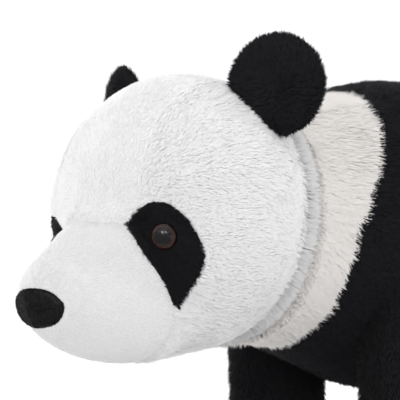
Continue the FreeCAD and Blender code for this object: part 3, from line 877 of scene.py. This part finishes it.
def seam_y(z, offset):
    """Where the neck's seam crosses height z. Offset moves it back along the body."""
    bend = body_axis_z + SEAM_BEND
    heights = [body_axis_z - THROAT_RADIUS, bend, body_axis_z + THROAT_RADIUS]
    return np.interp(z, heights, [SEAM_BOTTOM_Y, SEAM_SIDE_Y, SEAM_TOP_Y]) + offset


def body_panels(points):
    names = np.full(len(points), "rump_cover", dtype="<U24")
    wave = lattice_noise(points, 18 * MM, 3)[:, 0] * 2 * MM
    y, z = points[:, 1] + wave, points[:, 2]
    names[y < rump_low[1]] = "midsection_cover"
    names[y < seam_y(z, BAND_LENGTH)] = "shoulder_cover"
    names[y < seam_y(z, -PILE_OVERLAP)] = "neck_cover"
    return names


BODY_LOOKS = {
    "neck_cover": (WARM_CLOTH, WARM_WHITE, NECK_PILE, 1.0 * MM),
    "shoulder_cover": (BLACK_CLOTH, BLACK, BLACK_PILE, 1.3 * MM),
    "midsection_cover": (WARM_CLOTH, WARM_WHITE, NECK_PILE, 1.7 * MM),
    "rump_cover": (BLACK_CLOTH, BLACK, BLACK_PILE, 1.75 * MM),
}


def body_distance(points):
    """About how far a point is outside the torso."""
    height = np.hypot(points[:, 0], points[:, 2] - body_axis_z)
    return height - body_profile(points[:, 1])


def make_torso():
    around = 256
    cup_angles = np.linspace(0.02, math.asin(NECK_RIM_RADIUS / neck_socket_radius) - 0.03, 30)
    cup = np.stack([
        neck_pivot[1] + neck_socket_radius * np.cos(cup_angles),
        neck_socket_radius * np.sin(cup_angles),
    ], axis=1)
    ys = np.concatenate([
        np.linspace(neck_rim_y, RUMP_Y, 150),
        RUMP_Y + (rump_high[1] - 6 * MM - RUMP_Y) * np.sin(np.linspace(0.03, math.pi / 2, 50)),
    ])
    outer = np.stack([ys, np.maximum(body_profile(ys + 3 * MM) - 4.5 * MM, 0.5 * MM)], axis=1)
    profile = np.concatenate([cup, outer])
    angles = np.linspace(0, 2 * math.pi, around, endpoint=False)
    y = np.repeat(profile[:, 0], around)
    radius = np.repeat(profile[:, 1], around)
    angle = np.tile(angles, len(profile))
    vertices = np.stack([
        radius * np.sin(angle), y, body_axis_z + radius * np.cos(angle),
    ], axis=1)
    faces = tube_grid(len(profile), around)
    centres = vertices[faces].mean(axis=1)
    if np.sum(np.cross(vertices[faces[:, 1]] - vertices[faces[:, 0]],
                       vertices[faces[:, 2]] - vertices[faces[:, 0]])[:, 1] * centres[:, 1]) < 0:
        faces = faces[:, ::-1]
    names = body_panels(centres)
    rng = np.random.default_rng(41)
    for order, (node, look) in enumerate(BODY_LOOKS.items()):
        cloth, pile, style, spacing = look
        part_vertices, part_faces = keep_faces(vertices, faces, names == node)
        skin = add_piece(node + "_skin", mesh_from_arrays(node, part_vertices, part_faces), "torso", cloth)
        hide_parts(node)
        points, normals = scatter(part_vertices, part_faces, spacing, rng)
        from_axis = np.hypot(points[:, 0], points[:, 2] - body_axis_z)
        wanted = (from_axis > NECK_RIM_RADIUS - 12 * MM) | (points[:, 1] > SHOULDER_Y)
        wanted &= body_panels(points) == node
        points, normals = points[wanted], normals[wanted]
        flow = np.tile(np.array([0.0, 0.9, 0.0]), (len(points), 1)) + np.array([0, 0, -0.6])
        fur = make_pile(node + "_pile", points, normals, flow, style, "torso", pile, 80 + order)
    make_neck_rim(vertices, faces, rng)
    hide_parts("neck_filling")
    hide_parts("torso_filling")


def make_neck_rim(vertices, faces, rng):
    """Pile at the neck's rim that lies forwards, over the joint with the head."""
    centres = vertices[faces].mean(axis=1)
    from_axis = np.hypot(centres[:, 0], centres[:, 2] - body_axis_z)
    near_rim = (centres[:, 1] < neck_rim_y + 16 * MM) & (from_axis > NECK_RIM_RADIUS - 14 * MM)
    points, normals = scatter(*keep_faces(vertices, faces, near_rim), 1.0 * MM, rng)
    away = points - [0, 0, body_axis_z]
    away[:, 1] = 0
    normals = unit(unit(away) + np.array([0, -0.35, 0]))
    flow = np.tile(np.array([0.0, -1.0, -0.2]), (len(points), 1))
    fur = make_pile("neck_rim_pile", points, normals, flow, RIM_PILE, "torso", WARM_WHITE, 87)


# ---------------------------------------------------------------- legs
def make_leg(name):
    cover = "leg_cover_" + name
    low, high = node_box(cover)
    sole_low, sole_high = node_box("sole_" + name)
    centre = (sole_low + sole_high) / 2
    around = 128
    stations = np.array([
        (sole_high[2] + 0.5 * MM, 50 * MM),
        (14 * MM, 55 * MM),
        (34 * MM, 56 * MM),
        (58 * MM, 52.5 * MM),
        (85 * MM, 49 * MM),
        (160 * MM, 50 * MM),
        (235 * MM, 53 * MM),
        (295 * MM, 43 * MM),
        (330 * MM, 24 * MM),
    ])
    heights = np.linspace(stations[0, 0], stations[-1, 0], 120)
    radii = np.interp(heights, stations[:, 0], stations[:, 1]) - 4.5 * MM
    kernel = np.ones(9) / 9
    padded = np.concatenate([np.full(4, radii[0]), radii, np.full(4, radii[-1])])
    radii = np.convolve(padded, kernel, mode="valid")
    angles = np.linspace(0, 2 * math.pi, around, endpoint=False)
    z = np.repeat(heights, around)
    radius = np.repeat(radii, around)
    angle = np.tile(angles, len(heights))
    vertices = np.stack([
        centre[0] + radius * np.cos(angle), centre[1] + radius * np.sin(angle), z,
    ], axis=1)
    faces = tube_grid(len(heights), around)
    outside = body_distance(vertices[faces].mean(axis=1)) > -14 * MM
    vertices, faces = keep_faces(vertices, faces, outside)
    skin = add_piece(cover + "_skin", mesh_from_arrays(cover, vertices, faces), "torso", BLACK_CLOTH)
    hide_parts(cover, "leg_filling_" + name)
    rng = np.random.default_rng(51)
    spacing = 1.35 * MM if name.startswith("front") else 1.7 * MM
    points, normals = scatter(vertices, faces, spacing, rng)
    wanted = body_distance(points) > -8 * MM
    points, normals = points[wanted], normals[wanted]
    flow = np.tile(np.array([0.0, 0.2, -1.0]), (len(points), 1))
    fur = make_pile(cover + "_pile", points, normals, flow, BLACK_PILE, "torso", BLACK, 91, floor=1 * MM)


# ---------------------------------------------------------------- tail
def make_tail():
    half = np.array([39 * MM, 48 * MM, 40 * MM])
    centre = np.array([0, tail_high[1] - half[1], 402 * MM])

    def tail_distance(points):
        return ellipsoid_distance(points, centre, half)

    directions, faces = ball_grid(5)
    vertices = cast_out(directions, centre, tail_distance, 7 * MM, reach=0.08)
    outside = body_distance(vertices[faces].mean(axis=1)) > -14 * MM
    vertices, faces = keep_faces(vertices, faces, outside)
    skin = add_piece("tail_skin", mesh_from_arrays("tail", vertices, faces), "tail", WARM_CLOTH)
    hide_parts("tail_cover", "tail_filling")
    points, normals = scatter(vertices, faces, 1.4 * MM, np.random.default_rng(52))
    flow = np.tile(np.array([0.0, 0.7, -0.6]), (len(points), 1))
    fur = make_pile("tail_pile", points, normals, flow, NECK_PILE, "tail", WARM_WHITE, 95)


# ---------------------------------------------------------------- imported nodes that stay
def dress_packed_nodes():
    dome = dome_material()
    looks = {
        "steel": steel_material(),
        "plate_plastic": moulded_material("plate_plastic", 0.25),
        "washer_plastic": moulded_material("washer_plastic", 0.7),
        "foam": moulded_material("foam", 0.75),
        "sole_cloth": backing_material("sole_cloth", grey(0.02), 0.5),
        "eye_dome": dome,
    }
    for part in frame["record"]["subparts"]:
        node, slot = part["node"], part["material_slot"]
        packed = frame["nodes"][node]
        if slot in looks:
            packed.data.materials.clear()
            packed.data.materials.append(looks[slot])
        if slot == "eye_plastic":
            side = SIDES[node.rsplit("_", 1)[1]]
            low, high = node_box("eye_lens_" + node.rsplit("_", 1)[1])
            centre = (low + high) / 2
            mirror = np.array([side, 1, 1])
            packed.data.materials.clear()
            packed.data.materials.append(iris_material(node, tuple(centre), tuple(eye_outward * mirror)))


# ---------------------------------------------------------------- studio
def add_light(name, place, aim, size, power):
    light = bpy.data.lights.new(name, "AREA")
    light.shape = "DISK"
    light.size = size
    light.energy = power
    lamp = bpy.data.objects.new(name, light)
    bpy.context.scene.collection.objects.link(lamp)
    lamp.location = place
    lamp.rotation_mode = "QUATERNION"
    lamp.rotation_quaternion = (Vector(aim) - Vector(place)).to_track_quat("-Z", "Y")
    return lamp


def make_studio():
    floor_mesh = bpy.data.meshes.new("floor")
    reach = 4.0
    floor_mesh.from_pydata(
        [(-reach, -reach, 0), (reach, -reach, 0), (reach, reach, 0), (-reach, reach, 0)], [], [(0, 1, 2, 3)]
    )
    floor_mesh.materials.append(floor_material())
    floor = bpy.data.objects.new("floor", floor_mesh)
    bpy.context.scene.collection.objects.link(floor)
    world = bpy.data.worlds.new("studio")
    bpy.context.scene.world = world
    world.use_nodes = True
    background = world.node_tree.nodes["Background"]
    background.inputs["Color"].default_value = (1, 1, 1, 1)
    background.inputs["Strength"].default_value = 1.1
    aim = (0, -0.2, 0.33)
    add_light("overhead", (0.6, -1.2, 2.3), aim, 2.2, 5)
    for name, place in (("left_softbox", (1.6, -1.45, 0.95)), ("right_softbox", (0.9, -2.0, 0.95))):
        add_light(name, place, aim, 0.5, 18).visible_diffuse = False
    bpy.context.scene.view_settings.view_transform = "Standard"


def make_camera():
    azimuth, elevation, distance = math.radians(50), math.radians(-6), 1.8
    target = Vector((0, -0.2, 0.345))
    back = Vector((
        math.sin(azimuth) * math.cos(elevation),
        -math.cos(azimuth) * math.cos(elevation),
        math.sin(elevation),
    ))
    data = bpy.data.cameras.new("camera")
    data.lens = 171.7
    data.sensor_width = 36
    data.shift_x = 0.0125
    data.shift_y = 0.025
    camera = bpy.data.objects.new("camera", data)
    bpy.context.scene.collection.objects.link(camera)
    camera.location = target + back * distance
    camera.rotation_mode = "QUATERNION"
    camera.rotation_quaternion = (-back).to_track_quat("-Z", "Y")
    bpy.context.scene.camera = camera


make_head()
for ear_name, ear_side in SIDES.items():
    make_ear(ear_name, ear_side)
make_torso()
for leg_name in ("front_left", "front_right", "hind_left", "hind_right"):
    make_leg(leg_name)
make_tail()
dress_packed_nodes()
make_studio()
make_camera()
